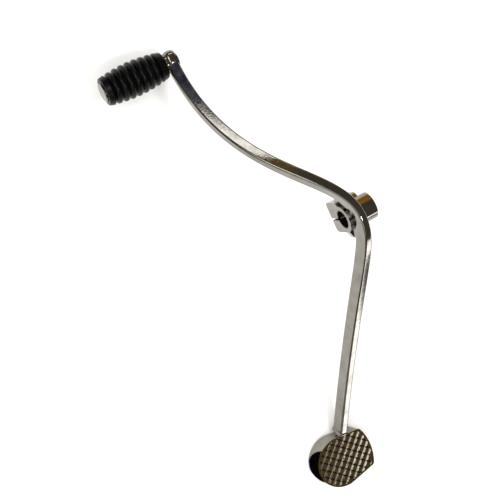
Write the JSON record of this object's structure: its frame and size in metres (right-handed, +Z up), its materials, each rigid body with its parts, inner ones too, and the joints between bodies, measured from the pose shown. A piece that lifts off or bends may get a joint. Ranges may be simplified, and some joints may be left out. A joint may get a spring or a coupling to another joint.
{
  "type": "gear shift lever",
  "caption": "Heel-and-toe motorcycle gear shift lever: bent chromed bar on a split clamp hub, with a ribbed rubber toe peg and a knurled heel pad.",
  "frame": {"origin": "on the axis of the clamp hub's shaft bore", "axes": "+X forward to the toe peg, +Y outward from the engine along the shaft bore, +Z up"},
  "size_m": [0.367, 0.1246, 0.1013],
  "materials": {
    "chrome_bar": "bright chrome plating over polished steel",
    "chrome_weld": "chrome plating over a dressed weld bead",
    "chrome_cap": "bright chrome plating, turned disc",
    "chrome_pad": "bright chrome plating over pressed steel",
    "black_rubber": "moulded black rubber, satin",
    "zinc_fastener": "bright zinc plating"
  },
  "bodies": {
    "lever": {"lever_bar": "chrome_bar", "hub_boss": "chrome_bar", "hub_weld_outer": "chrome_weld", "hub_weld_inner": "chrome_weld", "toe_peg": "chrome_bar", "toe_end_cap": "chrome_cap", "heel_pad_cap": "chrome_pad", "heel_pad_plate": "chrome_pad", "heel_pad_weld": "chrome_weld"},
    "rubber": {"toe_rubber": "black_rubber"},
    "washers": {"spring_washer": "zinc_fastener", "plain_washer": "zinc_fastener"},
    "bolt": {"pinch_bolt": "zinc_fastener"}
  },
  "joints": [
    {"name": "toe_rubber_turn", "type": "hinge", "parent": "lever", "child": "rubber", "pos_m": [0.148, 0.08, -0.0578], "axis": [0, 1, 0], "continuous": true},
    {"name": "pinch_bolt_travel", "type": "slide", "parent": "lever", "child": "washers", "axis": [-1, 0, 0], "range_m": [0, 0.008]},
    {"name": "pinch_bolt_turn", "type": "hinge", "parent": "washers", "child": "bolt", "pos_m": [-0.015, -0.0024, -0.0127], "axis": [-1, 0, 0], "range_deg": [0, 2880]}
  ],
  "couplings": [
    {"joint": "pinch_bolt_turn", "follows": "pinch_bolt_travel", "rad_per_m": 6283.2}
  ]
}
